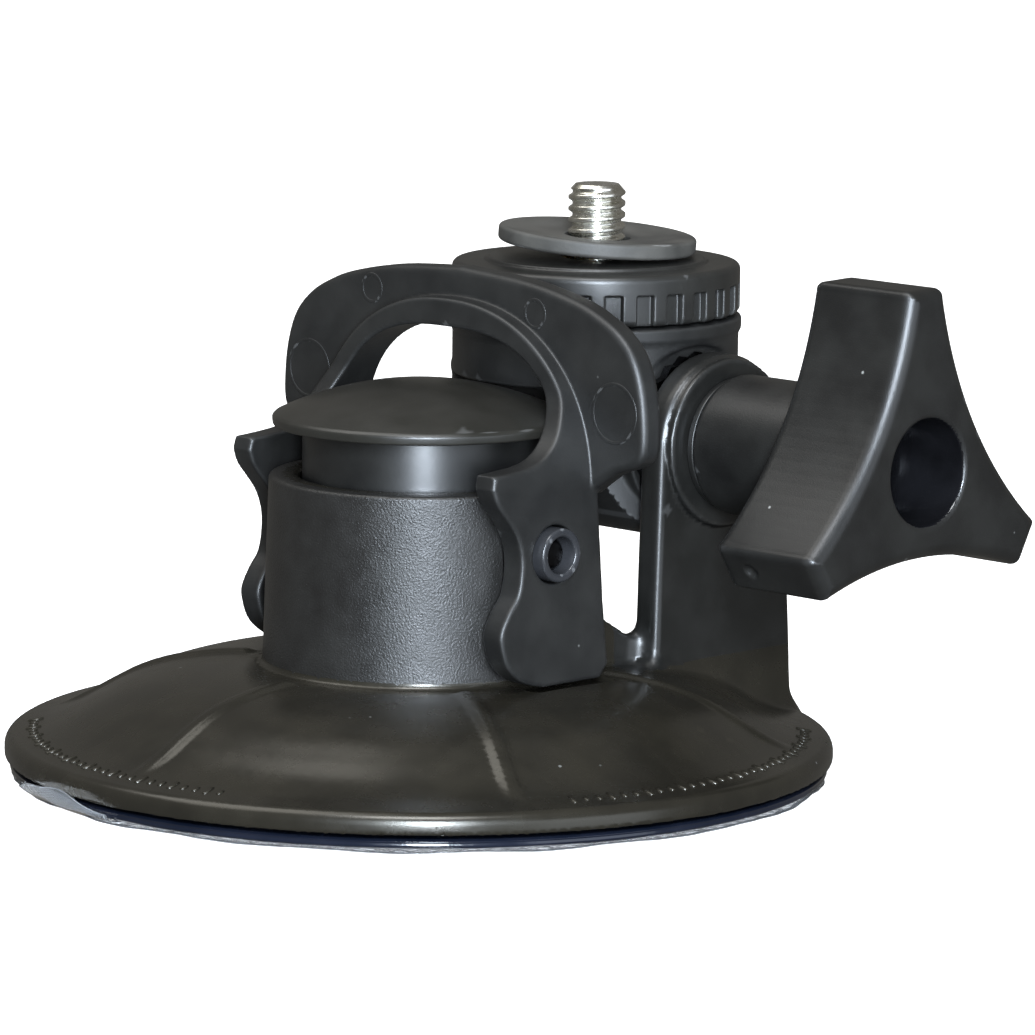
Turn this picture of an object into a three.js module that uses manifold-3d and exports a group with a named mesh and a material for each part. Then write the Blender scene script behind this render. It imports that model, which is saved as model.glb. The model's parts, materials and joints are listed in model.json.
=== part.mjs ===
// Suction-cup camera mount: a lever-locked suction base with a tilting 1/4"-20 camera head.
// Millimetres, +Z up. The origin is the centre of the disc's underside. The tilt axis is parallel
// to +X, the knob is on the +X side, and the lever flips towards -Y.
import * as THREE from 'three';
import { mergeVertices } from 'three/addons/utils/BufferGeometryUtils.js';
import Module from 'manifold-3d';

const wasm = await Module();
wasm.setup();

// ---- Driving dimensions -------------------------------------------------------------------
const GAP = 0.3;                     // clearance between touching pieces
const DISC_R = 45;                   // outer radius of the base flange
const RIM_Z = 1.9;                   // underside of the flange's rim
const BARREL_R = 17.1;               // textured barrel, radius at its foot
const BARREL_TOP_R = 16.5;
const BARREL_TOP_Z = 32.6;
const DOME_TOP_Z = 12;               // where the flange meets the barrel
const FILM_T = 0.3;
const CUP_Z = FILM_T + 0.2;          // underside of the rubber's sealing ring
const STROKE = 2.9;                  // plunger travel as the lever lies down
const PLUNGER_R = 12.9;
const PLUNGER_TOP_Z = 37.7;
const SHELF_Z = 16;                  // underside of the shelf inside the barrel
const SHELF_T = 2;
const STEM_R = 6.3;
const CAP_R = 16.2;
const CAP_Z = 38;                    // underside of the cap
const CAP_APEX_Z = 42.9;
const PIVOT_Z = 26.3;                // lever pivot, on Y = 0
const PIVOT_TUBE_R = 2.9;
const PIVOT_BORE_R = 2;
const PIVOT_HALF_LENGTH = 21.5;
const LEG_IN = 17.4;                 // inner and outer faces of the lever's legs
const LEG_OUT = 20.4;
const ARCH_FOOT_Z = 32;              // the legs start to curve in above this
const PLATE_FRONT_Y = 5.4;
const PLATE_BACK_Y = 8;
const PLATE_HALF_WIDTH = 28;
const LANDING_Z = 11.3;              // flats in the flange under the lever's cams
const TILT_Y = 28.7;                 // tilt axis, parallel to X
const TILT_Z = 35.3;
const EAR_IN = 14.5;
const EAR_OUT = 18;
const EAR_TOP_R = 9.9;
const BOSS_R = 9.2;
const BOSS_T = 0.75;
const HEAD_X = -2;                   // upright axis of the head, camera stud and wheel
const NECK_R = 15.9;
const NECK_FOOT_Z = 41;
const NECK_TOP_Z = 47.6;
const HUB_R = 9.5;
const WHEEL_R = 16;
const WHEEL_TOP_Z = 53.5;
const WHEEL_FLUTES = 28;
const STUD_R = 3.175;                // 1/4 inch thread, major radius
const STUD_TOP_Z = 62;
const WASHER_R = 11;
const WASHER_T = 1.6;
const WASHER_Z = 54.6;
const KNOB_IN = 33.1;
const KNOB_OUT = 47.6;
const KNOB_TIP_R = 19.5;
const KNOB_WAIST_R = 9.6;
const KNOB_HOLE_R = 5.77;
const COLLAR_R = 7.7;
const BOLT_R = 3;
const BOLT_HEAD_R = 5.2;

const DEG = Math.PI / 180;

// ---- Materials ----------------------------------------------------------------------------
const finish = (color, roughness, metalness = 0) =>
  new THREE.MeshStandardMaterial({ color, roughness, metalness });
const satinBlack = finish(0x1b1a19, 0.45);
const matteBlack = finish(0x222222, 0.6);
const glossBlack = finish(0x101113, 0.2);
const rubberBlack = finish(0x0c0e14, 0.35);
const rubberGrey = finish(0x2c2b29, 0.8);
const zinc = finish(0xc9c9c4, 0.25, 1);
const brass = finish(0xb08d4a, 0.3, 1);
const springSteel = finish(0x8f9194, 0.3, 1);
const clearFilm = finish(0xdfe6ee, 0.1);

// ---- Solids -------------------------------------------------------------------------------
function signedVolume(geometry) {
  const position = geometry.getAttribute('position');
  const index = geometry.getIndex().array;
  const [a, b, c] = [new THREE.Vector3(), new THREE.Vector3(), new THREE.Vector3()];
  let sum = 0;
  for (let i = 0; i < index.length; i += 3) {
    a.fromBufferAttribute(position, index[i]);
    b.fromBufferAttribute(position, index[i + 1]);
    c.fromBufferAttribute(position, index[i + 2]);
    sum += a.dot(b.cross(c)) / 6;
  }
  return sum;
}

// A closed geometry becomes a solid: vertices merged and faces turned outwards.
function solid(geometry) {
  const bare = geometry.clone();
  bare.deleteAttribute('normal');
  bare.deleteAttribute('uv');
  const merged = mergeVertices(bare, 1e-4);
  const index = merged.getIndex().array;
  const triVerts = [];
  for (let i = 0; i < index.length; i += 3) {
    const [p, q, r] = [index[i], index[i + 1], index[i + 2]];
    if (p !== q && q !== r && r !== p) triVerts.push(p, q, r);
  }
  if (signedVolume(merged) < 0) triVerts.reverse();
  return new wasm.Manifold(new wasm.Mesh({
    numProp: 3,
    vertProperties: new Float32Array(merged.getAttribute('position').array),
    triVerts: new Uint32Array(triVerts),
  }));
}

function toGeometry(manifold) {
  const mesh = manifold.getMesh();
  const geometry = new THREE.BufferGeometry();
  geometry.setAttribute('position', new THREE.BufferAttribute(new Float32Array(mesh.vertProperties), 3));
  geometry.setIndex(new THREE.BufferAttribute(new Uint32Array(mesh.triVerts), 1));
  geometry.computeVertexNormals();
  return geometry;
}

const union = (...parts) => parts.reduce((sum, part) => sum.add(part));
const cut = (body, ...tools) => tools.reduce((rest, tool) => rest.subtract(tool), body);

// A profile of [radius, height] turned about the Z axis.
function turned(profile, segments = 48) {
  const points = profile.map(([r, z]) => new THREE.Vector2(r, z));
  if (profile[0][0] !== 0) points.push(points[0].clone());
  return solid(new THREE.LatheGeometry(points, segments).rotateX(Math.PI / 2));
}

// The same, turned about an axis parallel to X through (y, z); the heights run along X.
function turnedAboutX(profile, y, z, segments = 32) {
  const points = profile.map(([r, x]) => new THREE.Vector2(r, x));
  if (profile[0][0] !== 0) points.push(points[0].clone());
  const geometry = new THREE.LatheGeometry(points, segments);
  return solid(geometry.rotateZ(-Math.PI / 2).translate(0, y, z));
}

const rodZ = (r, z0, z1, segments = 32) => turned([[0, z0], [r, z0], [r, z1], [0, z1]], segments);
const rodX = (r, x0, x1, y, z, segments = 32) =>
  turnedAboutX([[0, x0], [r, x0], [r, x1], [0, x1]], y, z, segments);

// An outline in the YZ plane pushed along X, and an outline in the XZ plane pushed along Y.
function alongX(shape, x0, x1, curveSegments = 8) {
  const geometry = new THREE.ExtrudeGeometry(shape, { depth: x1 - x0, bevelEnabled: false, curveSegments });
  const axes = new THREE.Matrix4().makeBasis(
    new THREE.Vector3(0, 1, 0), new THREE.Vector3(0, 0, 1), new THREE.Vector3(1, 0, 0));
  return solid(geometry.applyMatrix4(axes).translate(x0, 0, 0));
}

function alongY(shape, y0, y1, curveSegments = 8) {
  const geometry = new THREE.ExtrudeGeometry(shape, { depth: y1 - y0, bevelEnabled: false, curveSegments });
  return solid(geometry.rotateX(Math.PI / 2).translate(0, y1, 0));
}

const box = (x0, x1, y0, y1, z0, z1) =>
  solid(new THREE.BoxGeometry(x1 - x0, y1 - y0, z1 - z0)
    .translate((x0 + x1) / 2, (y0 + y1) / 2, (z0 + z1) / 2));

const outline = (points) => new THREE.Shape(points.map(([u, v]) => new THREE.Vector2(u, v)));

// Upper half of a superellipse about (0, foot), from its right foot to its left foot.
function archPoints(halfWidth, rise, power, foot, steps = 16) {
  const points = [];
  for (let i = 0; i <= steps; i += 1) {
    const angle = Math.PI * i / steps;
    const [c, s] = [Math.cos(angle), Math.sin(angle)];
    points.push([
      Math.sign(c) * halfWidth * Math.abs(c) ** (2 / power),
      foot + rise * Math.abs(s) ** (2 / power),
    ]);
  }
  return points;
}

// ---- The model ----------------------------------------------------------------------------
const mount = new THREE.Group();

function place(name, manifold, material, x = 0, y = 0, z = 0) {
  const mesh = new THREE.Mesh(toGeometry(manifold), material);
  mesh.name = name;
  mesh.position.set(x, y, z);
  mount.add(mesh);
  return mesh;
}

// ---- Base ---------------------------------------------------------------------------------
// Six soft ribs run down the dome, a sixth of a turn apart.
const RIB_COUNT = 6;
const RIB_FIRST = 30 * DEG;
const RIB_WIDTH = 1.85;
const RIB_RISE = 0.7;
const DOME = [[22, 11.8], [26, 11.2], [29, 10.5], [32, 9.4], [35, 7.8], [38, 6.1], [40.5, 5.1]];

function ribs() {
  const top = [[18.5, DOME_TOP_Z], ...DOME].map(([r, z]) => [r, z + RIB_RISE]);
  const foot = [[42, 3.6], [36, 5.6], [30, 8.5], [18.5, 10]];
  const bar = solid(new THREE.ExtrudeGeometry(outline([...top, ...foot]),
    { depth: RIB_WIDTH, bevelEnabled: false }).rotateX(Math.PI / 2).translate(0, RIB_WIDTH / 2, 0));
  const all = [];
  for (let i = 0; i < RIB_COUNT; i += 1) {
    all.push(bar.rotate([0, 0, (RIB_FIRST + i * 2 * Math.PI / RIB_COUNT) / DEG]));
  }
  return union(...all);
}

function ear() {
  const shape = new THREE.Shape();
  shape.moveTo(17.9, 8);
  shape.lineTo(TILT_Y - EAR_TOP_R, TILT_Z - 0.3);
  shape.absarc(TILT_Y, TILT_Z - 0.3, EAR_TOP_R, Math.PI, 0, true);
  shape.lineTo(39.8, 16);
  shape.lineTo(40.6, 3);
  shape.lineTo(24, 6.5);
  const slab = alongX(shape, EAR_IN, EAR_OUT, 16);
  const boss = rodX(BOSS_R, EAR_OUT - 1, EAR_OUT + BOSS_T, TILT_Y, TILT_Z);
  const web = alongX(
    outline([[9, 10], [9, 18.5], [12.5, 17.4], [18.3, 14], [20, 12], [20, 10]]), EAR_IN - 2.4, EAR_IN + 1);
  return union(slab, boss, web);
}

function baseShell() {
  const barrelBore = 14.4;
  const springBore = 12.5;
  const mouth = PLUNGER_R + 0.4;
  const shell = turned([
    [STEM_R + 0.5, SHELF_Z], [STEM_R + 0.5, SHELF_Z + SHELF_T], [barrelBore, SHELF_Z + SHELF_T],
    [barrelBore, BARREL_TOP_Z - 1.6], [mouth, BARREL_TOP_Z - 1.6], [mouth, BARREL_TOP_Z],
    [BARREL_TOP_R - 0.4, BARREL_TOP_Z], [BARREL_TOP_R, BARREL_TOP_Z - 0.4],
    [BARREL_R, DOME_TOP_Z + 0.4], [BARREL_R + 0.5, DOME_TOP_Z], ...DOME,
    [42.5, 4.6], [44, 4.1], [44.7, 3.6], [DISC_R, 3], [44.8, 2.3], [44.3, RIM_Z], [41, RIM_Z],
    [38, 3.7], [35, 5.4], [32, 6.9], [29, 8], [26, 8.8], [22, 9.4],
    [springBore, 9.5], [springBore, SHELF_Z],
  ], 48);
  const slotR = PIVOT_TUBE_R + GAP;
  const slot = new THREE.Shape();
  slot.moveTo(slotR, PIVOT_Z - STROKE);
  slot.lineTo(slotR, PIVOT_Z);
  slot.absarc(0, PIVOT_Z, slotR, 0, Math.PI, false);
  slot.lineTo(-slotR, PIVOT_Z - STROKE);
  slot.absarc(0, PIVOT_Z - STROKE, slotR, Math.PI, 2 * Math.PI, false);
  const slots = alongX(slot, -DISC_R / 2, DISC_R / 2);
  const landing = (x) => box(x - 1.9, x + 1.9, -3, 9, LANDING_Z, LANDING_Z + 2);
  const legMiddle = (LEG_IN + LEG_OUT) / 2;
  const boltHole = rodX(BOLT_R + GAP, EAR_IN - 1, EAR_OUT + 2, TILT_Y, TILT_Z, 24);
  const outside = cut(ribs(), rodZ(BARREL_R - 0.5, 0, 20, 48));
  const landings = union(landing(legMiddle + 0.1), landing(-legMiddle - 0.1));
  return cut(union(shell, outside, ear()), slots, landings, boltHole);
}
place('base_shell', baseShell(), satinBlack);

// The rubber cup: a flat sealing ring, and a middle that the anchor pulls up into the dome.
const ANCHOR_R = 9.5;
const ANCHOR_Z = 4.6;
const ANCHOR_T = 1.7;
const BOSS_TOP_Z = ANCHOR_Z + ANCHOR_T + GAP;

function suctionCup() {
  return turned([
    [0, 2.9], [10, 2.9], [22, 1.9], [34, 0.75], [38, CUP_Z], [43.9, CUP_Z], [44.3, 0.8], [44.3, 1.4],
    [44, RIM_Z - GAP], [40.5, RIM_Z - GAP], [34, 2.4], [22, 4], [14, 5.4], [11.5, 5.8],
    [11.5, BOSS_TOP_Z], [ANCHOR_R + GAP, BOSS_TOP_Z], [ANCHOR_R + GAP, ANCHOR_Z - GAP], [0, ANCHOR_Z - GAP],
  ], 40);
}
place('suction_cup', suctionCup(), rubberBlack);

// Clear film over the sealing face, with a pull tab.
const TAB_ANGLE = 257 * DEG;
const TAB_REACH = 47.5;
const TAB_HALF_WIDTH = 9;

function releaseFilm() {
  const disc = rodZ(DISC_R - 0.4, 0, FILM_T, 48);
  const tab = box(DISC_R - 8, TAB_REACH, -TAB_HALF_WIDTH, TAB_HALF_WIDTH, 0, FILM_T);
  return union(disc, tab.rotate([0, 0, TAB_ANGLE / DEG]));
}
place('release_film', releaseFilm(), clearFilm);

// Coil spring between the shelf and the anchor; it pushes the cup flat when the lever lets go.
const SPRING_R = 8.6;
const WIRE_R = 0.8;
const SPRING_TURNS = 4;

class Coil extends THREE.Curve {
  getPoint(t, target = new THREE.Vector3()) {
    const low = BOSS_TOP_Z + WIRE_R;
    const high = SHELF_Z - GAP - WIRE_R;
    const angle = 2 * Math.PI * SPRING_TURNS * t;
    return target.set(SPRING_R * Math.cos(angle), SPRING_R * Math.sin(angle), low + (high - low) * t);
  }
}

function returnSpring() {
  const section = outline(Array.from({ length: 6 }, (_, i) =>
    [WIRE_R * Math.cos(i * Math.PI / 3), WIRE_R * Math.sin(i * Math.PI / 3)]));
  return solid(new THREE.ExtrudeGeometry(section, { extrudePath: new Coil(), steps: SPRING_TURNS * 14 }));
}
place('return_spring', returnSpring(), springSteel);

// ---- Plunger ------------------------------------------------------------------------------
const PLUNGER_FOOT_Z = SHELF_Z + SHELF_T + STROKE + 0.2;
const SPIGOT_R = 10.4;
const STUD_BORE_R = 2.8;

function plunger() {
  const body = turned([
    [0, 21], [STUD_BORE_R, 21], [STUD_BORE_R, BOSS_TOP_Z], [STEM_R, BOSS_TOP_Z], [STEM_R, PLUNGER_FOOT_Z],
    [PLUNGER_R, PLUNGER_FOOT_Z], [PLUNGER_R, PLUNGER_TOP_Z], [SPIGOT_R + GAP, PLUNGER_TOP_Z],
    [SPIGOT_R + GAP, 32.5], [0, 32.5],
  ], 36);
  return cut(body, rodX(PIVOT_TUBE_R + GAP, -20, 20, 0, PIVOT_Z, 24));
}
place('plunger', plunger(), glossBlack);

function plungerCap() {
  const dome = [];
  const steps = 6;
  const edgeR = CAP_R - 0.4;
  const edgeZ = CAP_Z + 1.2;
  for (let i = 0; i <= steps; i += 1) {
    const t = i / steps;
    dome.push([edgeR * (1 - t), edgeZ + (CAP_APEX_Z - edgeZ) * (1 - (1 - t) ** 2)]);
  }
  return turned([
    [0, 34], [SPIGOT_R, 34], [SPIGOT_R, CAP_Z], [CAP_R - 0.2, CAP_Z],
    [CAP_R, CAP_Z + 0.3], [CAP_R, CAP_Z + 0.9], ...dome,
  ], 40);
}
place('plunger_cap', plungerCap(), satinBlack);

function pivotTube() {
  return turnedAboutX([
    [PIVOT_BORE_R, -PIVOT_HALF_LENGTH], [PIVOT_TUBE_R, -PIVOT_HALF_LENGTH],
    [PIVOT_TUBE_R, PIVOT_HALF_LENGTH], [PIVOT_BORE_R, PIVOT_HALF_LENGTH],
  ], 0, PIVOT_Z, 24);
}
place('pivot_tube', pivotTube(), satinBlack);
place('pivot_pin', rodX(PIVOT_BORE_R - GAP, -20.4, 20.4, 0, PIVOT_Z, 20), springSteel);

function cupAnchor() {
  const plate = rodZ(ANCHOR_R, ANCHOR_Z, ANCHOR_Z + ANCHOR_T);
  return union(plate, rodZ(STUD_BORE_R - GAP, ANCHOR_Z + 0.5, 20, 24));
}
place('cup_anchor', cupAnchor(), springSteel);

// ---- Lever --------------------------------------------------------------------------------
// Side outline (y, z): a horn and a cam in front, a flat foot, and a hook open to the front
// that clears the cap. The hoop over the cap keeps the hook's upper front edge.
const HOOP_FRONT_Y = 3.4;
const LEG_FOOT_Z = 12.1;
const FRONT_EDGE = [
  [-9.2, 34], [-8.4, 32.2], [-6, 29.3], [-5, 26.9], [-4.9, 24.6], [-5.4, 22.3], [-6.7, 20.6],
  [-7.8, 18.6], [-7.7, 16.9], [-6.8, 14.8], [-4.9, 13.2], [-3.1, 12.5], [-1.3, LEG_FOOT_Z],
];
const HOOK_EDGE = [
  [HOOP_FRONT_Y, 44], [3.2, 42.5], [2.4, 40.7], [0.9, 38.4],
  [-0.8, 36.9], [-2.9, 36], [-6, 35.6], [-8.9, 35.4],
];

function lever() {
  const side = new THREE.Shape();
  side.moveTo(...HOOK_EDGE.at(-1));
  side.lineTo(...FRONT_EDGE[0]);
  side.splineThru(FRONT_EDGE.slice(1).map(([y, z]) => new THREE.Vector2(y, z)));
  side.lineTo(7.2, LEG_FOOT_Z);
  side.lineTo(8.4, 13.5);
  side.lineTo(7.6, 20.4);
  side.lineTo(6.6, 32.2);
  side.lineTo(PLATE_BACK_Y, 34.5);
  side.lineTo(PLATE_BACK_Y, 60);
  side.lineTo(HOOP_FRONT_Y, 60);
  side.lineTo(...HOOK_EDGE[0]);
  side.splineThru(HOOK_EDGE.slice(1).map(([y, z]) => new THREE.Vector2(y, z)));

  const outerArch = archPoints(LEG_OUT, 19.4, 2.2, ARCH_FOOT_Z);
  const innerArch = archPoints(LEG_IN, 16.3, 2.7, ARCH_FOOT_Z);
  const hoop = alongY(outline([[LEG_OUT, 8], ...outerArch, [-LEG_OUT, 8]]), -12, 12);
  const opening = alongY(outline([[LEG_IN, 0], ...innerArch, [-LEG_IN, 0]]), -15, 15);
  const frame = alongX(side, -LEG_OUT, LEG_OUT, 2).intersect(hoop);

  const plate = [
    [19.5, 32], [21.4, 33.3], [23.5, 34.6], [26.4, 35.6],
    [PLATE_HALF_WIDTH - 0.2, 37], [PLATE_HALF_WIDTH, 40], [27.5, 43.9],
    [26.2, 47.3], [23.9, 49.7], [20.8, 51.4], [17, 52.7], [10, 54], [0, 54.7],
  ];
  const mirrored = plate.slice(0, -1).reverse().map(([x, z]) => [-x, z]);
  const backPlate = alongY(outline([...plate, ...mirrored]), PLATE_FRONT_Y, PLATE_BACK_Y);
  const pivotHole = rodX(PIVOT_TUBE_R + GAP, -25, 25, 0, PIVOT_Z, 24);
  return cut(union(frame, backPlate), opening, pivotHole);
}
place('lever', lever(), matteBlack);

// ---- Tilting head -------------------------------------------------------------------------
const HUB_FACE_X = 12.9;
const BOLT_END_X = -12.5;
const NUT_R = 5.6;
const NUT_IN = -8.3;
const POCKET_X = -14;
const STUD_HEAD_R = 6;
const STUD_HEAD_Z = 40.4;
const STUD_HEAD_T = 3;
const RETAINER_SEAT_R = 9;

function headBlock() {
  const neck = turned([
    [0, 30], [NECK_R, 30], [NECK_R, 46], [NECK_R + 0.3, 46.2],
    [NECK_R + 0.3, NECK_TOP_Z - 0.2], [NECK_R, NECK_TOP_Z], [0, NECK_TOP_Z],
  ], 48).translate([HEAD_X, TILT_Y, 0]);
  // Below the neck the block is cut back to clear the plunger's cap and to round into the hub.
  const frontRelief = box(-30, 30, 0, CAP_R + 1, 20, NECK_FOOT_Z);
  const backRelief = box(-30, 30, 2 * TILT_Y - CAP_R - 1, 60, 20, NECK_FOOT_Z);
  const keep = union(box(-30, 30, 0, 60, TILT_Z, 60), rodX(TILT_Y - CAP_R - 1, -30, 30, TILT_Y, TILT_Z));
  const hub = rodX(HUB_R, POCKET_X, HUB_FACE_X, TILT_Y, TILT_Z);
  const discSeat = rodX(HUB_R + GAP, HUB_FACE_X, EAR_OUT, TILT_Y, TILT_Z);
  const boltBore = rodX(BOLT_R + GAP, NUT_IN - 1, 15, TILT_Y, TILT_Z, 24);
  const nutPocket = rodX(NUT_R + GAP, POCKET_X - 5, NUT_IN + GAP, TILT_Y, TILT_Z, 6);
  const studPocket = rodZ(STUD_HEAD_R + GAP, STUD_HEAD_Z - GAP, 45, 6).translate([HEAD_X, TILT_Y, 0]);
  const retainerSeat = rodZ(RETAINER_SEAT_R, STUD_HEAD_Z + STUD_HEAD_T + GAP, 49)
    .translate([HEAD_X, TILT_Y, 0]);
  return cut(union(cut(neck, frontRelief, backRelief).intersect(keep), hub), boltBore, discSeat, nutPocket,
    studPocket, retainerSeat);
}
place('head_block', headBlock(), matteBlack);

// Toothed disc that grips between the hub and the ear.
function detentDisc() {
  const teeth = 24;
  const points = Array.from({ length: teeth * 2 }, (_, i) => {
    const r = i % 2 ? 9 : 9.5;
    return [TILT_Y + r * Math.cos(i * Math.PI / teeth), TILT_Z + r * Math.sin(i * Math.PI / teeth)];
  });
  const disc = alongX(outline(points), HUB_FACE_X + GAP, EAR_IN - GAP);
  return cut(disc, rodX(BOLT_R + GAP, HUB_FACE_X, EAR_IN, TILT_Y, TILT_Z, 24));
}
place('detent_disc', detentDisc(), zinc);

function captiveNut() {
  const hex = rodX(NUT_R, NUT_IN - 4.5, NUT_IN, TILT_Y, TILT_Z, 6);
  return cut(hex, rodX(BOLT_R + GAP, NUT_IN - 6, NUT_IN + 1, TILT_Y, TILT_Z, 24));
}
place('captive_nut', captiveNut(), zinc);

function cameraStud() {
  const hexHead = rodZ(STUD_HEAD_R, STUD_HEAD_Z, STUD_HEAD_Z + STUD_HEAD_T, 6);
  const shank = turned([
    [0, STUD_HEAD_Z + 1], [STUD_R, STUD_HEAD_Z + 1], [STUD_R, STUD_TOP_Z - 0.7], [STUD_R - 0.7, STUD_TOP_Z],
    [0, STUD_TOP_Z],
  ], 24);
  return union(hexHead, shank);
}
place('camera_stud', cameraStud(), zinc, HEAD_X, TILT_Y);

const retainerZ = STUD_HEAD_Z + STUD_HEAD_T + 2 * GAP;
place('stud_retainer', turned([
  [STUD_R + GAP, retainerZ], [RETAINER_SEAT_R - GAP, retainerZ],
  [RETAINER_SEAT_R - GAP, NECK_TOP_Z - 0.1], [STUD_R + GAP, NECK_TOP_Z - 0.1],
], 32), matteBlack, HEAD_X, TILT_Y);

// ---- Lock wheel and washer ----------------------------------------------------------------
const INSERT_R = 5.5;

function lockWheel() {
  const foot = NECK_TOP_Z + GAP;
  const rim = turned([
    [INSERT_R + GAP, foot], [WHEEL_R - 0.4, foot], [WHEEL_R, foot + 0.4], [WHEEL_R, WHEEL_TOP_Z - 0.8],
    [WHEEL_R - 0.8, WHEEL_TOP_Z], [12.4, WHEEL_TOP_Z], [12, WHEEL_TOP_Z + 0.4],
    [INSERT_R + GAP, WHEEL_TOP_Z + 0.4],
  ], 56);
  const flute = box(WHEEL_R - 0.9, WHEEL_R + 1, -0.9, 0.9, foot - 1, foot + 3.4);
  const flutes = [];
  for (let i = 0; i < WHEEL_FLUTES; i += 1) {
    flutes.push(flute.rotate([0, 0, i * 360 / WHEEL_FLUTES]));
  }
  return cut(rim, union(...flutes));
}
place('lock_wheel', lockWheel(), matteBlack, HEAD_X, TILT_Y);
place('wheel_insert', turned([
  [STUD_R + GAP, 48.1], [INSERT_R, 48.1], [INSERT_R, WHEEL_TOP_Z + 0.2], [STUD_R + GAP, WHEEL_TOP_Z + 0.2],
], 32), brass, HEAD_X, TILT_Y);

// The washer is loose on the stud and sits a few degrees off level.
const WASHER_TILT = -4 * DEG;
const WASHER_TILT_HEADING = -55 * DEG;
const washer = place('rubber_washer', turned([
  [STUD_R + 0.5, 0], [7, -0.1], [WASHER_R - 0.2, 0.5], [WASHER_R, 0.7], [WASHER_R, WASHER_T + 0.4],
  [WASHER_R - 0.2, WASHER_T + 0.6], [7, WASHER_T], [STUD_R + 0.5, WASHER_T],
], 36), rubberGrey, HEAD_X, TILT_Y, WASHER_Z);
washer.quaternion.setFromAxisAngle(
  new THREE.Vector3(Math.cos(WASHER_TILT_HEADING), Math.sin(WASHER_TILT_HEADING), 0), WASHER_TILT);

// ---- Knob ---------------------------------------------------------------------------------
const KNOB_LOBES = 3;
const KNOB_FIRST_LOBE = 91 * DEG;
const TIP_HALF_CHORD = 2.9;

// Each lobe ends in a short flat with round corners; hollow curves join the lobes.
function knobOutline() {
  const shape = new THREE.Shape();
  const at = (r, angle, side) => [
    TILT_Y + r * Math.cos(angle) - side * Math.sin(angle),
    TILT_Z + r * Math.sin(angle) + side * Math.cos(angle),
  ];
  const step = 2 * Math.PI / KNOB_LOBES;
  const tipEdge = TIP_HALF_CHORD - 1;
  const tipReach = KNOB_TIP_R * Math.cos(step / 2) + TIP_HALF_CHORD * Math.sin(step / 2);
  shape.moveTo(...at(KNOB_TIP_R - 1, KNOB_FIRST_LOBE, -TIP_HALF_CHORD));
  for (let i = 0; i < KNOB_LOBES; i += 1) {
    const lobe = KNOB_FIRST_LOBE + i * step;
    shape.quadraticCurveTo(...at(KNOB_TIP_R, lobe, -TIP_HALF_CHORD), ...at(KNOB_TIP_R, lobe, -tipEdge));
    shape.lineTo(...at(KNOB_TIP_R, lobe, tipEdge));
    shape.quadraticCurveTo(...at(KNOB_TIP_R, lobe, TIP_HALF_CHORD),
      ...at(KNOB_TIP_R - 1, lobe, TIP_HALF_CHORD));
    const next = lobe + step;
    const waist = at(2 * KNOB_WAIST_R - tipReach, lobe + step / 2, 0);
    shape.quadraticCurveTo(...waist, ...at(KNOB_TIP_R - 1, next, -TIP_HALF_CHORD));
  }
  return shape;
}

function knob() {
  const body = alongX(knobOutline(), KNOB_IN, KNOB_OUT, 6);
  const collar = rodX(COLLAR_R, 20.15, KNOB_IN + 1, TILT_Y, TILT_Z);
  const bore = rodX(BOLT_R + GAP, 15, 40, TILT_Y, TILT_Z, 24);
  const hole = rodX(KNOB_HOLE_R, 34.2, KNOB_OUT + 1, TILT_Y, TILT_Z);
  return cut(union(body, collar), bore, hole);
}
place('knob', knob(), matteBlack);

function knobBolt() {
  const shank = rodX(BOLT_R, BOLT_END_X, 35, TILT_Y, TILT_Z, 24);
  return union(shank, rodX(BOLT_HEAD_R, 34.5, 37.6, TILT_Y, TILT_Z, 24));
}
place('knob_bolt', knobBolt(), glossBlack);

const THRUST_R = 7.2;
const THRUST_X = EAR_OUT + BOSS_T + GAP;
place('thrust_washer', turnedAboutX([
  [BOLT_R + GAP, THRUST_X], [THRUST_R, THRUST_X], [THRUST_R, THRUST_X + 0.8], [BOLT_R + GAP, THRUST_X + 0.8],
], TILT_Y, TILT_Z, 32), matteBlack);

export default mount;
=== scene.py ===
"""Looks of the suction cup camera mount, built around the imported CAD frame.

Shapes are worked out in millimetres and turned into metres when their mesh is made.
"""
import json
import math

import bmesh
import bpy
import numpy as np
from mathutils import Matrix, Vector


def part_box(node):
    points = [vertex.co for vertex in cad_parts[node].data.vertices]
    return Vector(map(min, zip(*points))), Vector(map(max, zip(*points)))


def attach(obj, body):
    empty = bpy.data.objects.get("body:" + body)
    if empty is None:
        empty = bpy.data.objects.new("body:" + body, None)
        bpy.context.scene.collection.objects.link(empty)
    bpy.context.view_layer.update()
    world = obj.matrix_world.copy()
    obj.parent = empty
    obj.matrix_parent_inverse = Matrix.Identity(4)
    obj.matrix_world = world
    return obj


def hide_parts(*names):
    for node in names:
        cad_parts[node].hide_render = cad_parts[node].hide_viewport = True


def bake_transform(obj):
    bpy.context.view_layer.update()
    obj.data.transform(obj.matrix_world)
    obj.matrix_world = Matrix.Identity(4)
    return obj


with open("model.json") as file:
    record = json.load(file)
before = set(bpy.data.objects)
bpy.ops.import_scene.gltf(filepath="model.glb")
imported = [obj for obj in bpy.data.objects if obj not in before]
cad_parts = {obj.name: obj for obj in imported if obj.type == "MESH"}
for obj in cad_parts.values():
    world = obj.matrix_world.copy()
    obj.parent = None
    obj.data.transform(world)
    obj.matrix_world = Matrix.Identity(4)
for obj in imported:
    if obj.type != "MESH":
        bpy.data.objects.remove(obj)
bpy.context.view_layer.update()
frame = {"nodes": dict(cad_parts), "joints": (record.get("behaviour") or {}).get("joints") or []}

MM = 0.001
COARSE = 1.0


def node_box(node):
    """Lowest and highest corner of a CAD node, in millimetres."""
    low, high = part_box(node)
    return np.array(low) / MM, np.array(high) / MM


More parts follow.
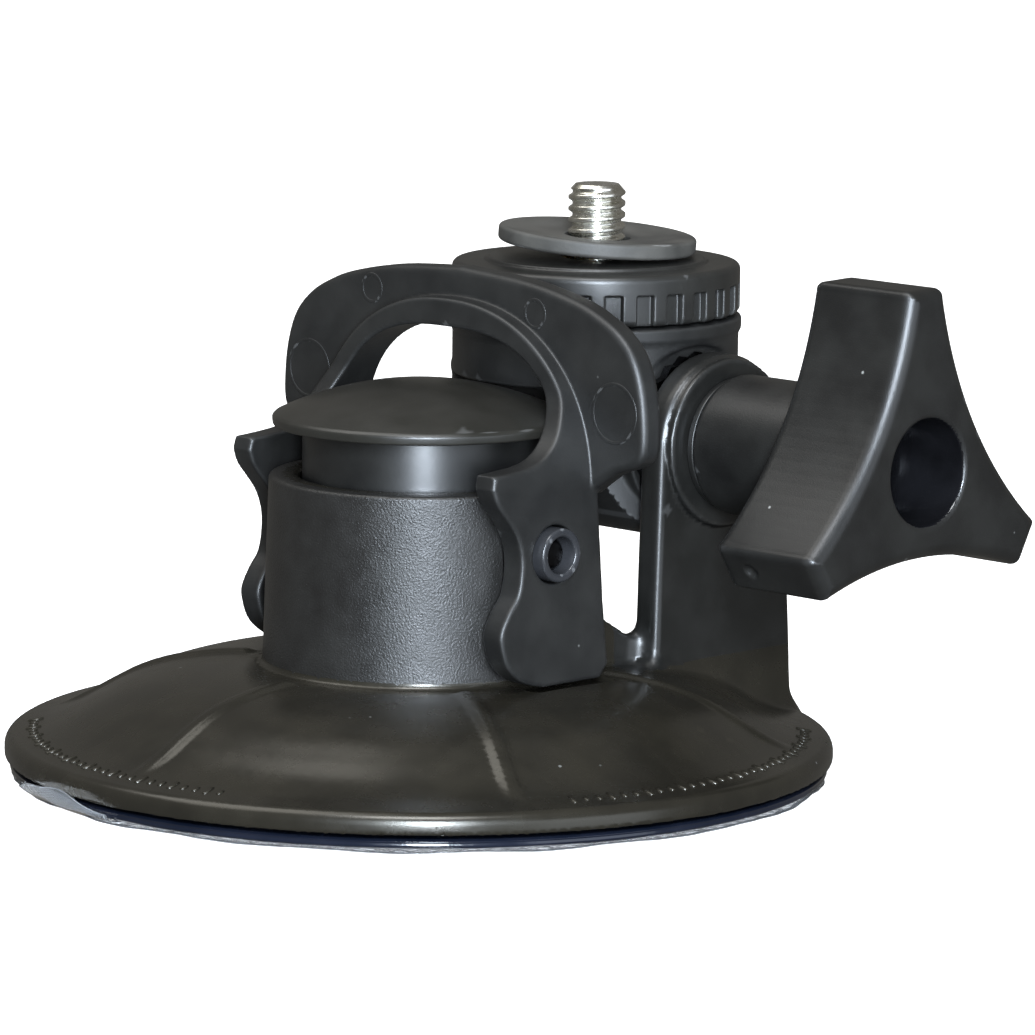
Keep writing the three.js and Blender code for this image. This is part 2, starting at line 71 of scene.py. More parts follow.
# ---- Driving dimensions, from the frame ------------------------------------------------------
BASE_LOW, BASE_HIGH = node_box("base_shell")
CAP_HIGH = node_box("plunger_cap")[1]
LEVER_LOW, LEVER_HIGH = node_box("lever")
WHEEL_LOW, WHEEL_HIGH = node_box("lock_wheel")
STUD_HIGH = node_box("camera_stud")[1]
KNOB_LOW, KNOB_HIGH = node_box("knob")
TUBE_HIGH = node_box("pivot_tube")[1]
PLUNGER_HIGH = node_box("plunger")[1]
HEAD_HIGH = node_box("head_block")[1]
THRUST_LOW, THRUST_HIGH = node_box("thrust_washer")
BOLT_LOW, BOLT_HIGH = node_box("knob_bolt")

JOINTS = {joint["name"]: joint for joint in frame["joints"]}
TILT_Y, TILT_Z = (v / MM for v in JOINTS["head_tilt"]["pos_m"][1:])
PIVOT_Z = JOINTS["lever_flip"]["pos_m"][2] / MM
HEAD_X = JOINTS["wheel_turn"]["pos_m"][0] / MM

DISC_R = BASE_HIGH[0]
RIM_Z = BASE_LOW[2]
BARREL_R = 17.1
BARREL_TOP_R = 16.5
BARREL_TOP_Z = 32.6
DOME_TOP_Z = 12
EAR_START_Y = 14
SHELF_Z = 18
SPRING_BORE_R = 12.5
SPRING_BORE_TOP_Z = 16
STEM_HOLE_R = 6.8
STROKE = 2.9
CAP_R = CAP_HIGH[0]
PLUNGER_R = PLUNGER_HIGH[0]
TUBE_R = TUBE_HIGH[1]
TUBE_BORE_R = 2
LEG_IN = 17.4
LEG_OUT = 20.4
ARCH_FOOT_Z = 32
PLATE_FRONT_Y = 5.4
PLATE_BACK_Y = LEVER_HIGH[1]
PLATE_HALF_WIDTH = LEVER_HIGH[0]
PLATE_TOP_Z = LEVER_HIGH[2]
LANDING_Z = 11.3
LANDING_X = (16.9, 20.9)
LANDING_Y = (-3, 9)
EAR_IN = 14.5
EAR_OUT = 18
EAR_TOP_R = 9.9
BOSS_R = 9.2
BOSS_T = 0.75
WHEEL_R = 16
WHEEL_FLUTES = 28
NECK_R = 15.9
HUB_R = 9.5
HUB_X = (-14, 12.9)
BOLT_BORE_R = 3.4
BOLT_CLEAR_R = 3.3
BOLT_SHANK_R = 2.95
DETENT_RECESS_R = 10.1
STUD_R = 3.175
THREAD_PITCH = 1.27
WASHER_R = 11
WASHER_T = 1.6
KNOB_TIP_R = 19.5
KNOB_WAIST_R = 9.6
KNOB_HOLE_R = 5.77
COLLAR_R = 7.7
KNOB_HOLE_X = 34.2
KNOB_BODY_X = 33.1
GAP = 0.3


# ---- Camera ----------------------------------------------------------------------------------
CAMERA_AZIMUTH = math.radians(44.906)
CAMERA_ELEVATION = math.radians(9.111)
CAMERA_ROLL = math.radians(0.637)
CAMERA_DISTANCE = 0.6937
CAMERA_ASIDE = 0.01043
CAMERA_ABOVE = 0.02756
CAMERA_LENS = 221.6


def direction(azimuth, elevation):
    """Unit vector from the object towards an azimuth and elevation; azimuth 0 is towards -Y."""
    return Vector((math.sin(azimuth) * math.cos(elevation), -math.cos(azimuth) * math.cos(elevation),
                   math.sin(elevation)))


def make_camera():
    """The camera is placed by its direction and distance, moved aside, and rolled a little."""
    back = direction(CAMERA_AZIMUTH, CAMERA_ELEVATION)
    right = Vector((math.cos(CAMERA_AZIMUTH), math.sin(CAMERA_AZIMUTH), 0))
    up = back.cross(right)
    place = back * CAMERA_DISTANCE + right * CAMERA_ASIDE + up * CAMERA_ABOVE
    turned_right = right * math.cos(CAMERA_ROLL) + up * math.sin(CAMERA_ROLL)
    turned_up = up * math.cos(CAMERA_ROLL) - right * math.sin(CAMERA_ROLL)
    data = bpy.data.cameras.new("camera")
    data.lens = CAMERA_LENS
    data.clip_start = 0.01
    camera = bpy.data.objects.new("camera", data)
    bpy.context.scene.collection.objects.link(camera)
    axes = Matrix((turned_right, turned_up, back)).transposed()
    camera.matrix_world = Matrix.Translation(place) @ axes.to_4x4()
    bpy.context.scene.camera = camera


make_camera()


# ---- Distance fields: negative inside, in millimetres ----------------------------------------
def both(a, b, radius):
    """What a and b share; the edge between them is rounded to the radius."""
    corner = np.hypot(np.maximum(radius + a, 0), np.maximum(radius + b, 0))
    return np.minimum(-radius, np.maximum(a, b)) + corner


def either(a, b, radius):
    """a and b joined; the corner between them is filled to the radius."""
    return -both(-a, -b, radius)


def without(a, b, radius):
    """a less b, with a rounded edge."""
    return both(a, -b, radius)


def area(outline, u, v):
    """Distance to a closed outline in a plane."""
    points = np.asarray(outline, float)
    shape = np.broadcast_shapes(np.shape(u), np.shape(v))
    nearest = np.full(shape, 1e9)
    inside = np.zeros(shape, bool)
    for (u0, v0), (u1, v1) in zip(points, np.roll(points, -1, 0)):
        du, dv = u1 - u0, v1 - v0
        length = du * du + dv * dv
        if length < 1e-12:
            continue
        along = np.clip(((u - u0) * du + (v - v0) * dv) / length, 0, 1)
        nearest = np.minimum(nearest, (u - u0 - along * du) ** 2 + (v - v0 - along * dv) ** 2)
        if abs(dv) > 1e-9:
            inside ^= ((v0 <= v) != (v1 <= v)) & (u < u0 + (v - v0) * du / dv)
    return np.where(inside, -1, 1) * np.sqrt(nearest)


def slab(value, low, high):
    """Distance to the space between two parallel planes."""
    return np.abs(value - (low + high) / 2) - (high - low) / 2


def spline(points, steps=6):
    """A smooth line through the points (Catmull-Rom)."""
    p = np.asarray(points, float)
    p = np.vstack([2 * p[0] - p[1], p, 2 * p[-1] - p[-2]])
    line = []
    for a, b, c, d in zip(p, p[1:], p[2:], p[3:]):
        for t in np.arange(steps) / steps:
            line.append(0.5 * (2 * b + (c - a) * t + (2 * a - 5 * b + 4 * c - d) * t ** 2
                               + (3 * b - a - 3 * c + d) * t ** 3))
    return line + [p[-2]]


def quadratic(start, control, end, steps=14):
    """Points after the start of a quadratic curve, up to its end."""
    a, b, c = (np.asarray(q, float) for q in (start, control, end))
    return [(1 - t) ** 2 * a + 2 * t * (1 - t) * b + t * t * c for t in np.arange(1, steps + 1) / steps]


def arch(half_width, rise, power, foot, steps=72):
    """Upper half of a superellipse, from its right foot to its left foot."""
    angles = np.linspace(0, np.pi, steps + 1)
    c, s = np.cos(angles), np.sin(angles)
    across = np.sign(c) * half_width * np.abs(c) ** (2 / power)
    return list(zip(across, foot + rise * np.abs(s) ** (2 / power)))


# ---- Meshes ----------------------------------------------------------------------------------
CORNERS = np.array([(i, j, k) for i in (0, 1) for j in (0, 1) for k in (0, 1)])
CELL_EDGES = [(a, b) for a in range(8) for b in range(a + 1, 8)
              if np.abs(CORNERS[a] - CORNERS[b]).sum() == 1]
SLOPE_STEP = 0.02


def make_object(name, points, faces, normals=None):
    """A smooth-shaded object from points in millimetres."""
    mesh = bpy.data.meshes.new(name)
    mesh.from_pydata((np.asarray(points, float) * MM).tolist(), [], faces)
    mesh.polygons.foreach_set("use_smooth", [True] * len(mesh.polygons))
    mesh.validate()
    if normals is not None:
        mesh.normals_split_custom_set_from_vertices(normals.tolist())
    piece = bpy.data.objects.new(name, mesh)
    bpy.context.scene.collection.objects.link(piece)
    return piece


def slope(field, points):
    """How steeply a field rises at points, along X, Y and Z."""
    parts = []
    for axis in range(3):
        shift = np.zeros(3)
        shift[axis] = SLOPE_STEP
        parts.append(field(*(points + shift).T) - field(*(points - shift).T))
    return np.stack(parts, 1) / (2 * SLOPE_STEP)


def skin(name, field, low, high, step):
    """A closed mesh on the zero level of a field, by surface nets, then moved onto that level."""
    step *= COARSE
    unit = np.eye(3, dtype=int)
    axes = [np.arange(a - 2 * step, b + 3 * step, step) for a, b in zip(low, high)]
    grid = field(axes[0][:, None, None], axes[1][None, :, None], axes[2][None, None, :])
    inside = grid < 0
    size = np.array(grid.shape) - 1
    filled = sum(inside[i:i + size[0], j:j + size[1], k:k + size[2]].astype(np.int8)
                 for i, j, k in CORNERS)
    cells = np.argwhere((filled > 0) & (filled < 8))
    number = np.full(size, -1)
    number[tuple(cells.T)] = np.arange(len(cells))
    values = [grid[tuple((cells + corner).T)] for corner in CORNERS]
    total, hits = np.zeros((len(cells), 3)), np.zeros(len(cells))
    for a, b in CELL_EDGES:
        crosses = (values[a] < 0) != (values[b] < 0)
        share = np.where(crosses, values[a] / np.where(crosses, values[a] - values[b], 1), 0)
        total += crosses[:, None] * (CORNERS[a] + share[:, None] * (CORNERS[b] - CORNERS[a]))
        hits += crosses
    points = (cells + total / hits[:, None]) * step + [axis[0] for axis in axes]
    faces = []
    for axis in range(3):
        here, there = [slice(1, -1)] * 3, [slice(1, -1)] * 3
        here[axis], there[axis] = slice(0, -1), slice(1, None)
        at = np.argwhere(inside[tuple(here)] != inside[tuple(there)])
        at += 1 - unit[axis]
        across, up = unit[(axis + 1) % 3], unit[(axis + 2) % 3]
        quads = np.stack([number[tuple((at - s).T)] for s in (across + up, up, 0 * up, across)], 1)
        backward = ~inside[tuple(at.T)]
        quads[backward] = quads[backward][:, ::-1]
        faces.append(quads)
    for _ in range(3):
        steepness = slope(field, points)
        square = np.maximum((steepness ** 2).sum(1), 0.05)
        move = np.clip(field(*points.T) / square, -step, step)
        points -= move[:, None] * steepness
    normals = slope(field, points)
    normals /= np.maximum(np.linalg.norm(normals, axis=1), 1e-6)[:, None]
    return make_object(name, points, np.vstack(faces).tolist(), normals)


def rounded(corners, steps=5):
    """A closed outline from (u, v, radius) corners, each rounded to its radius."""
    line = []
    for i, (u, v, radius) in enumerate(corners):
        here = np.array((u, v), float)
        if radius == 0:
            line.append(here)
            continue
        before = np.array(corners[i - 1][:2], float) - here
        after = np.array(corners[(i + 1) % len(corners)][:2], float) - here
        reach = min(radius, np.linalg.norm(before) * 0.49, np.linalg.norm(after) * 0.49)
        start = here + before / np.linalg.norm(before) * reach
        end = here + after / np.linalg.norm(after) * reach
        line += [start] + quadratic(start, here, end, steps)
    return line


def lathe(name, outline, centre=(0, 0, 0), axis="z", segments=144, turn=None):
    """An outline of (radius, height) turned about an axis through the centre."""
    outline = np.asarray(outline, float)
    angles = np.arange(segments) * 2 * np.pi / segments
    c, s = np.cos(angles), np.sin(angles)
    radius, height = outline[:, 0][:, None], outline[:, 1][:, None] + 0 * c
    if axis == "z":
        points = np.stack([radius * c, radius * s, height], -1)
    else:
        points = np.stack([height, radius * c, radius * s], -1)
    count = len(outline)
    closed = outline[0, 0] > 1e-6 or outline[-1, 0] > 1e-6
    rows = np.arange(count if closed else count - 1)
    columns = np.arange(segments)
    i, j = np.meshgrid(rows, columns, indexing="ij")
    i, j = i.ravel(), j.ravel()
    next_i, next_j = (i + 1) % count, (j + 1) % segments
    quads = np.stack([i * segments + j, i * segments + next_j,
                      next_i * segments + next_j, next_i * segments + j], 1)
    points = points.reshape(-1, 3)
    if turn is not None:
        points = points @ np.array(turn.to_3x3()).T
    piece = make_object(name, points + np.array(centre), quads.tolist())
    tidy(piece)
    return piece


def ring_faces(rings, segments):
    """Quads between neighbouring rings of points."""
    return [[i * segments + j, i * segments + (j + 1) % segments,
             (i + 1) * segments + (j + 1) % segments, (i + 1) * segments + j]
            for i in range(rings - 1) for j in range(segments)]


def end_faces(rings, segments):
    """One face on the first ring and one on the last."""
    return [list(range(segments)), list(range((rings - 1) * segments, rings * segments))]


def face_centres(piece):
    """X, Y and Z of the middle of each face, in millimetres."""
    centre = np.zeros(len(piece.data.polygons) * 3)
    piece.data.polygons.foreach_get("center", centre)
    return centre.reshape(-1, 3).T / MM


def tidy(piece):
    """Merges doubled points, and turns every face outwards."""
    work = bmesh.new()
    work.from_mesh(piece.data)
    bmesh.ops.remove_doubles(work, verts=work.verts, dist=1e-7)
    bmesh.ops.dissolve_degenerate(work, edges=work.edges, dist=1e-8)
    bmesh.ops.recalc_face_normals(work, faces=work.faces)
    work.to_mesh(piece.data)
    work.free()
    for polygon in piece.data.polygons:
        polygon.use_smooth = True


def tube(name, path, radius, sides=14):
    """A round wire along a path, with closed ends."""
    path = np.asarray(path, float)
    along = np.gradient(path, axis=0)
    along /= np.linalg.norm(along, axis=1)[:, None]
    out = np.cross(along, (0, 0, 1.0))
    out /= np.linalg.norm(out, axis=1)[:, None]
    up = np.cross(out, along)
    angles = np.arange(sides) * 2 * np.pi / sides
    rings = (path[:, None] + radius * (np.cos(angles)[None, :, None] * out[:, None]
                                       + np.sin(angles)[None, :, None] * up[:, None]))
    faces = ring_faces(len(path), sides) + end_faces(len(path), sides)
    piece = make_object(name, rings.reshape(-1, 3), faces)
    tidy(piece)
    return piece


# ---- Materials -------------------------------------------------------------------------------
def new_material(name):
    """A material, its node tree, its shader, and a place measured from the object's own origin."""
    material = bpy.data.materials.new(name)
    material.use_nodes = True
    tree = material.node_tree
    shader = tree.nodes["Principled BSDF"]
    place = tree.nodes.new("ShaderNodeTexCoord")
    return material, tree, shader, place.outputs["Object"]


def noise(tree, place, grain, detail=2.0, roughness=0.5):
    """Noise whose features are about the given number of millimetres across."""
    node = tree.nodes.new("ShaderNodeTexNoise")
    node.inputs["Scale"].default_value = 1 / (grain * MM)
    node.inputs["Detail"].default_value = detail
    node.inputs["Roughness"].default_value = roughness
    tree.links.new(place, node.inputs["Vector"])
    return node.outputs["Fac"]


def ramp(tree, value, stops):
    """A colour ramp; stops are (position, colour or grey)."""
    node = tree.nodes.new("ShaderNodeValToRGB")
    elements = node.color_ramp.elements
    while len(elements) < len(stops):
        elements.new(0.5)
    for element, (position, colour) in zip(elements, stops):
        element.position = position
        shade = colour if isinstance(colour, tuple) else (colour,) * 3
        element.color = (*shade, 1)
    tree.links.new(value, node.inputs["Fac"])
    return node.outputs["Color"]


def mix(tree, share, a, b):
    """A colour between a and b; each is a colour or a socket."""
    node = tree.nodes.new("ShaderNodeMix")
    node.data_type = "RGBA"
    tree.links.new(share, node.inputs["Factor"])
    for socket, value in ((node.inputs[6], a), (node.inputs[7], b)):
        if isinstance(value, tuple):
            socket.default_value = (*value, 1)
        else:
            tree.links.new(value, socket)
    return node.outputs[2]


def bump(tree, value, depth, below=None):
    """Relief of the given depth in millimetres."""
    node = tree.nodes.new("ShaderNodeBump")
    node.inputs["Distance"].default_value = depth * MM
    tree.links.new(value, node.inputs["Height"])
    if below is not None:
        tree.links.new(below, node.inputs["Normal"])
    return node.outputs["Normal"]


def moulded(name, dark, light, roughness, grain=0.12, depth=0.01, edge_wear_and_highlight=0.04, dust=0.0, sheen=None):
    """Moulded plastic: cloudy colour, uneven gloss, a fine surface grain, paler edges that are partly wear
    and partly painted highlight, dust.
    """
    material, tree, shader, place = new_material(name)
    clouds = noise(tree, place, 7, 3)
    colour = ramp(tree, clouds, [(0.35, dark), (0.65, light)])
    geometry = tree.nodes.new("ShaderNodeNewGeometry")
    # Sharp edges are painted paler: partly wear, partly a painted highlight along rounded edges.
    edges = ramp(tree, geometry.outputs["Pointiness"], [(0.53, 0.0), (0.62, 1.0)])
    colour = mix(tree, edges, colour, tuple(c + edge_wear_and_highlight for c in light))
    if dust:
        cells = tree.nodes.new("ShaderNodeTexVoronoi")
        cells.inputs["Scale"].default_value = 1 / (3.2 * MM)
        tree.links.new(place, cells.inputs["Vector"])
        specks = ramp(tree, cells.outputs["Distance"], [(0.035, 1.0), (0.07, 0.0)])
        chosen = ramp(tree, noise(tree, place, 5), [(0.56, 0.0), (0.6, 1.0)])
        shown = tree.nodes.new("ShaderNodeMath")
        shown.operation = "MULTIPLY"
        tree.links.new(specks, shown.inputs[0])
        tree.links.new(chosen, shown.inputs[1])
        colour = mix(tree, shown.outputs[0], colour, (dust, dust, dust * 0.94))
    tree.links.new(colour, shader.inputs["Base Color"])
    gloss = ramp(tree, noise(tree, place, 3.5, 4), [(0.3, roughness - 0.025), (0.7, roughness + 0.035)])
    tree.links.new(gloss, shader.inputs["Roughness"])
    tree.links.new(bump(tree, noise(tree, place, grain, 3, 0.6), depth), shader.inputs["Normal"])
    if sheen:
        shader.inputs["Specular Tint"].default_value = (*sheen, 1)
    return material


def spark_texture(name):
    """The barrel: satin plastic with a coarse spark-eroded grain."""
    material, tree, shader, place = new_material(name)
    colour = ramp(tree, noise(tree, place, 5, 3),
                  [(0.3, (0.007, 0.0065, 0.006)), (0.7, (0.012, 0.0115, 0.0105))])
    tree.links.new(colour, shader.inputs["Base Color"])
    gloss = ramp(tree, noise(tree, place, 2.5, 3), [(0.3, 0.36), (0.7, 0.44)])
    tree.links.new(gloss, shader.inputs["Roughness"])
    coarse = bump(tree, noise(tree, place, 0.22, 2, 0.6), 0.065)
    fine = bump(tree, noise(tree, place, 0.12, 2), 0.01, coarse)
    tree.links.new(fine, shader.inputs["Normal"])
    return material


def metal(name, low, high, roughness, brushed=0.2):
    """Plated metal: slightly cloudy colour with fine turning marks."""
    material, tree, shader, place = new_material(name)
    colour = ramp(tree, noise(tree, place, 1.5, 3), [(0.3, low), (0.7, high)])
    tree.links.new(colour, shader.inputs["Base Color"])
    shader.inputs["Metallic"].default_value = 1.0
    gloss = ramp(tree, noise(tree, place, 0.8, 3), [(0.3, roughness - 0.06), (0.7, roughness + 0.08)])
    tree.links.new(gloss, shader.inputs["Roughness"])
    tree.links.new(bump(tree, noise(tree, place, brushed, 3), 0.006), shader.inputs["Normal"])
    return material


def clear_film(name):
    """Clear flexible film with faint waves and dust."""
    material, tree, shader, place = new_material(name)
    shader.inputs["Base Color"].default_value = (0.86, 0.9, 0.95, 1)
    shader.inputs["Transmission Weight"].default_value = 0.95
    shader.inputs["IOR"].default_value = 1.45
    gloss = ramp(tree, noise(tree, place, 1.2, 3), [(0.4, 0.04), (0.75, 0.22)])
    tree.links.new(gloss, shader.inputs["Roughness"])
    tree.links.new(bump(tree, noise(tree, place, 2.4, 2), 0.12), shader.inputs["Normal"])
    return material


# The base plastic's warm brown tone is partly a painted warm sheen on the dome.
BASE_PLASTIC = moulded("base_plastic", (0.009, 0.008, 0.006), (0.0125, 0.011, 0.008), 0.26,
                       grain=0.35, depth=0.006, edge_wear_and_highlight=0.0, dust=0.1, sheen=(1.0, 0.97, 0.89))
# A darker, cooler copy of the base plastic for the ear and the back of the barrel: painted shade on the same
# moulding.
EAR_SHADE_PLASTIC = moulded("ear_shade_plastic", (0.006, 0.006, 0.0055), (0.01, 0.0098, 0.009), 0.34,
                      grain=0.25, depth=0.006, edge_wear_and_highlight=0.02)
RING_PLASTIC = moulded("ring_plastic", (0.016, 0.0165, 0.018), (0.026, 0.0265, 0.029), 0.22,
                       grain=0.4, depth=0.01, edge_wear_and_highlight=0.06)
BARREL_PLASTIC = spark_texture("barrel_plastic")
LEVER_PLASTIC = moulded("lever_plastic", (0.007, 0.007, 0.0068), (0.012, 0.0118, 0.011), 0.44,
                        grain=0.14, depth=0.012, edge_wear_and_highlight=0.03, dust=0.15)
CAP_PLASTIC = moulded("cap_plastic", (0.011, 0.0105, 0.0085), (0.016, 0.015, 0.0125), 0.33,
                      grain=0.12, depth=0.012, edge_wear_and_highlight=0.03)
PLUNGER_PLASTIC = moulded("plunger_plastic", (0.005, 0.005, 0.005), (0.009, 0.0088, 0.008), 0.38,
                          grain=0.5, depth=0.004, edge_wear_and_highlight=0.01)
HEAD_PLASTIC = moulded("head_plastic", (0.008, 0.008, 0.0077), (0.014, 0.0135, 0.0125), 0.48,
                       grain=0.16, depth=0.016, edge_wear_and_highlight=0.02)
WHEEL_PLASTIC = moulded("wheel_plastic", (0.01, 0.0098, 0.009), (0.016, 0.0155, 0.014), 0.36,
                        grain=0.12, depth=0.012, edge_wear_and_highlight=0.03)
KNOB_PLASTIC = moulded("knob_plastic", (0.006, 0.0058, 0.0055), (0.01, 0.0098, 0.009), 0.37,
                       grain=0.16, depth=0.02, edge_wear_and_highlight=0.04, dust=0.2)
# A darker copy of the knob plastic for the inside of the knob's hole: painted shade in the recess; its pale
# specks are dust.
SOCKET_SHADE_PLASTIC = moulded("socket_shade_plastic", (0.003, 0.003, 0.0034), (0.006, 0.006, 0.007), 0.14,
                         grain=0.6, depth=0.008, edge_wear_and_highlight=0.01, dust=0.4)
WASHER_RUBBER = moulded("washer_rubber", (0.03, 0.029, 0.026), (0.065, 0.062, 0.055), 0.6,
                        grain=0.3, depth=0.03, edge_wear_and_highlight=0.05)
CUP_RUBBER = moulded("cup_rubber", (0.004, 0.006, 0.012), (0.008, 0.01, 0.018), 0.14,
                     grain=1.2, depth=0.03, edge_wear_and_highlight=0.0)
ZINC = metal("zinc", (0.62, 0.6, 0.52), (0.86, 0.85, 0.8), 0.24)
BLACK_STEEL = metal("black_steel", (0.015, 0.015, 0.016), (0.035, 0.035, 0.037), 0.3)
SPRING_STEEL = metal("spring_steel", (0.45, 0.46, 0.48), (0.6, 0.61, 0.63), 0.3)
BRASS = metal("brass", (0.6, 0.42, 0.16), (0.78, 0.58, 0.26), 0.26)
FILM = clear_film("film")


def finish_piece(piece, body, material, slot, *nodes):
    """Gives a piece its material and body, and lets it stand for CAD nodes; the slot is not used."""
    piece.data.materials.append(material)
    if body:
        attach(piece, body)
    if nodes:
        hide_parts(*nodes)


# ---- Base ------------------------------------------------------------------------------------
RIB_COUNT = 6
RIB_FIRST = math.radians(30)
RIB_HALF_WIDTH = 0.75
RIB_RISE = 0.42
DOME_TOP = np.array(spline([
    (0, 12), (17, 12), (22, 11.8), (26, 11.2), (29, 10.5), (32, 9.4), (35, 7.8), (38, 6.1),
    (40.5, 5.1), (42.5, 4.65), (45, 4.3), (50, 4.1)]))
DOME_UNDER = np.array([(0, 9.5), (22, 9.4), (26, 8.8), (29, 8), (32, 6.9), (35, 5.4), (38, 3.7),
                       (41, 1.9), (50, 1.9)])
DOME_LEAN = 0.92
EAR_FOOT_FILLET = 2.2


def smooth_share(value, low, high):
    """0 below low, 1 above high, and a smooth rise between them."""
    t = np.clip((value - low) / (high - low), 0, 1)
    return t * t * (3 - 2 * t)


def dome_field(x, y, z):
    """The disc: a revolved top with raised ribs, and a rounded rim."""
    r = np.hypot(x, y)
    angle = np.arctan2(y, x) - RIB_FIRST
    pitch = 2 * np.pi / RIB_COUNT
    aside = np.abs(r * np.sin(angle - pitch * np.round(angle / pitch)))
    rib = RIB_RISE * (1 - smooth_share(aside, RIB_HALF_WIDTH - 0.5, RIB_HALF_WIDTH + 0.75))
    rib *= smooth_share(r, 18.4, 20) * (1 - smooth_share(r, 38, 42))
    top = np.interp(r, *DOME_TOP.T) + rib
    return both((z - top) * DOME_LEAN, r - DISC_R, 1.15)


def ear_field(x, y, z):
    """The upright ear, with a round boss on its outer face."""
    outline = [(17.9, 6), (TILT_Y - EAR_TOP_R, TILT_Z - 0.3)]
    angles = np.linspace(np.pi, 0, 40)
    outline += [(TILT_Y + EAR_TOP_R * math.cos(a), TILT_Z - 0.3 + EAR_TOP_R * math.sin(a))
                for a in angles[1:]]
    outline += [(39.8, 16), (40.6, 3), (24, 3)]
    slab_field = both(area(outline, y, z), slab(x, EAR_IN, EAR_OUT), 0.9)
    disc = both(np.hypot(y - TILT_Y, z - TILT_Z) - BOSS_R, slab(x, EAR_IN + 1, EAR_OUT + BOSS_T), 0.35)
    return either(slab_field, disc, 0.25)


def web_field(x, y, z):
    """The small web between barrel and ear."""
    outline = [(9, 10), (9, 18.5), (12.5, 17.4), (18.3, 14), (21, 11), (21, 8)]
    return both(area(outline, y, z), slab(x, EAR_IN - 2.4, EAR_IN + 1), 0.5)


def base_field(x, y, z):
    """The whole base, less the plunger's bore, the tube's slots and room for the lever's feet."""
    r = np.hypot(x, y)
    wall = BARREL_R - (z - DOME_TOP_Z) * (BARREL_R - BARREL_TOP_R) / (BARREL_TOP_Z - DOME_TOP_Z)
    barrel = both(r - wall, z - BARREL_TOP_Z, 0.45)
    body = either(dome_field(x, y, z), barrel, 0.55)
    body = either(body, web_field(x, y, z), 0.6)
    body = either(body, ear_field(x, y, z), EAR_FOOT_FILLET)
    body = np.maximum(body, np.interp(r, *DOME_UNDER.T) * DOME_LEAN - z * DOME_LEAN)
    body = both(body, RIM_Z - z, 0.5)
    bore = np.maximum(r - (PLUNGER_R + 0.45), SHELF_Z - z)
    spring_bore = np.maximum(r - SPRING_BORE_R, z - SPRING_BORE_TOP_Z)
    body = without(body, np.minimum(bore, spring_bore), 0.3)
    body = without(body, r - STEM_HOLE_R, 0.2)
    slot_z = np.clip(z, PIVOT_Z - STROKE, PIVOT_Z)
    slots = np.maximum(np.hypot(y, z - slot_z) - (TUBE_R + GAP), 10 - np.abs(x))
    body = without(body, slots, 0.2)
    landing = np.maximum(np.maximum(slab(np.abs(x), *LANDING_X), slab(y, *LANDING_Y)), LANDING_Z - z)
    landing = np.maximum(landing, z - LANDING_Z - 1.5)
    body = without(body, landing, 0.15)
    return without(body, np.maximum(np.hypot(y - TILT_Y, z - TILT_Z) - BOLT_BORE_R, 12 - x), 0.15)


def make_base():
    piece = skin("base_moulding", base_field, (-DISC_R, -DISC_R, RIM_Z), (DISC_R, DISC_R, 45.2), 0.5)
    finish_piece(piece, "base", BASE_PLASTIC, "satin_black", "base_shell")
    piece.data.materials.append(BARREL_PLASTIC)
    piece.data.materials.append(EAR_SHADE_PLASTIC)
    # Faces of the ear and the back of the barrel take the darker copy, which is painted shade; the dome
    # keeps the warmer one.
    x, y, z = face_centres(piece)
    r = np.hypot(x, y)
    on_barrel = (z > DOME_TOP_Z + 0.5) & (r > BARREL_TOP_R - 1.6) & (r < BARREL_R + 0.5)
    barrel = (on_barrel & (y < EAR_START_Y)).astype(np.int32)
    ear = ((z > DOME_TOP_Z - 0.5) & (y >= EAR_START_Y)).astype(np.int32)
    piece.data.polygons.foreach_set("material_index", barrel + 2 * ear)


# Plain raised marks stand on the rim in two stretches.
TICK_RANGES = ((222, 288), (-23, 48))
TICK_PITCH = 2.05


def make_ticks():
    points, faces = [], []
    for first, last in TICK_RANGES:
        for k in range(int((last - first) / TICK_PITCH)):
            angle = math.radians(first + (k + 0.5) * TICK_PITCH)
            long_mark = k % 3 == 0
            inner, outer = (41, 42.7) if long_mark else (41.4, 42.4)
            half = 0.22
            c, s = math.cos(angle), math.sin(angle)
            start = len(points)
            for inset, top in ((0.0, 0), (0.0, 1), (0.12, 2)):
                for r, side in ((inner + inset, -1), (outer - inset, -1), (outer - inset, 1),
                                (inner + inset, 1)):
                    w = side * (half - inset)
                    ground = np.interp(r, *DOME_TOP.T)
                    z = ground + (-0.3, 0.08, 0.16)[top]
                    points.append((r * c - w * s, r * s + w * c, z))
            for ring in (0, 4):
                for j in range(4):
                    faces.append([start + ring + j, start + ring + (j + 1) % 4,
                                  start + ring + 4 + (j + 1) % 4, start + ring + 4 + j])
            faces.append([start + 8 + j for j in range(4)])
            faces.append([start + j for j in (3, 2, 1, 0)])
    piece = make_object("rim_marks", points, faces)
    tidy(piece)
    finish_piece(piece, "base", BASE_PLASTIC, "satin_black")


def make_cup():
    """Rubber cup: its glossy edge shows under the rim."""
    outline = rounded([
        (0, 2.9, 0), (10, 2.9, 3), (22, 1.9, 4), (34, 0.75, 2), (38, 0.5, 1), (43.9, 0.5, 0.3),
        (44.45, 0.85, 0.25), (44.35, 1.25, 0.1), (44.5, 1.4, 0.1), (44, 1.6, 0.1), (40.5, 1.6, 1),
        (34, 2.4, 3), (22, 4, 4), (14, 5.4, 2), (11.5, 5.8, 0.3), (11.5, 6.6, 0.2), (9.8, 6.6, 0.2),
        (9.8, 4.3, 0.2), (0, 4.3, 0)], 4)
    piece = lathe("cup_moulding", outline, segments=220)
    finish_piece(piece, None, CUP_RUBBER, "cup_rubber", "suction_cup")
    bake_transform(piece)


# ---- Release film ----------------------------------------------------------------------------
TAB_ANGLE = math.radians(257)
TAB_HALF_ANGLE = math.radians(13)
FILM_R = 44.35
FILM_T = 0.12


